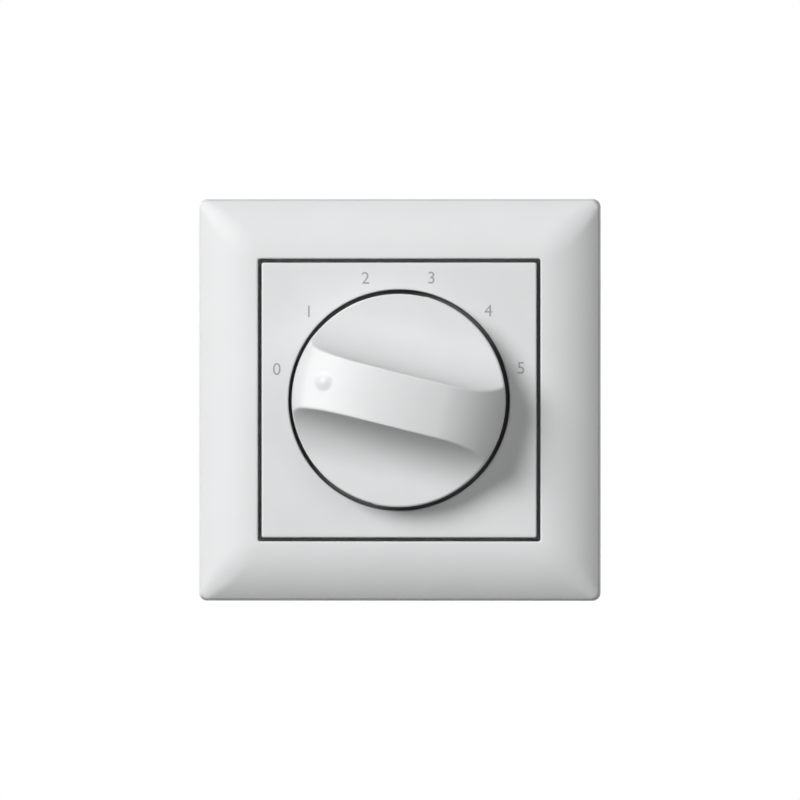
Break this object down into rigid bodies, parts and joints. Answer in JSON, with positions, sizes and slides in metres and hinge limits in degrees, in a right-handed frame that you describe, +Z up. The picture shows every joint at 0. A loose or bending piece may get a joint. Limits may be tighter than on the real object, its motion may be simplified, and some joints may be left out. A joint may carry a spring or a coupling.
{
  "type": "audio source selector",
  "caption": "Flush wall selector for audio sources: square crowned cover frame, flat centre plate and a winged round knob that turns a rotary switch behind the wall.",
  "frame": {"origin": "on the knob's axis in the wall plane, in the middle of the box screw slots", "axes": "+Z up, -Y out of the wall towards the user, +X to the right seen from the front"},
  "size_m": [0.081, 0.0531, 0.081],
  "materials": {
    "frame_white": "satin moulded white plastic",
    "plate_white": "satin moulded white plastic",
    "knob_white": "satin moulded white plastic",
    "zinc_steel": "bright zinc-plated sheet steel",
    "plated_steel": "nickel-plated steel",
    "shaft_steel": "turned steel",
    "spring_steel": "spring steel",
    "bush_brass": "turned brass",
    "case_black": "glass-filled black plastic",
    "index_acetal": "natural acetal",
    "base_brown": "phenolic board",
    "contact_bronze": "phosphor bronze strip",
    "contact_silver": "tinned contact metal",
    "board_green": "solder-masked circuit board",
    "terminal_green": "moulded green plastic"
  },
  "bodies": {
    "housing": {"cover_frame": "frame_white", "centre_plate": "plate_white", "cover_nut": "plated_steel", "support_plate": "zinc_steel", "lock_washer": "plated_steel", "switch_nut": "plated_steel", "switch_case": "case_black", "switch_bush": "bush_brass", "stop_washer": "plated_steel", "index_spring": "spring_steel", "switch_base": "base_brown", "fixed_contacts": "contact_silver", "pole_contacts": "contact_silver", "case_screws": "plated_steel", "circuit_board": "board_green", "upper_terminal_block": "terminal_green", "lower_terminal_block": "terminal_green", "terminal_clamps": "contact_silver", "terminal_screws": "plated_steel", "board_pillars": "bush_brass", "board_screws": "plated_steel"},
    "rotor": {"selector_knob": "knob_white", "knob_clip": "spring_steel", "switch_shaft": "shaft_steel", "shaft_circlip": "spring_steel", "index_wheel": "index_acetal", "contact_rotor": "case_black", "wiper_contacts": "contact_bronze"}
  },
  "joints": [
    {"name": "selector_turn", "type": "hinge", "parent": "housing", "child": "rotor", "pos_m": [0, 0, 0], "axis": [0, 1, 0], "range_deg": [0, 150], "deforming": ["index_spring"]}
  ]
}
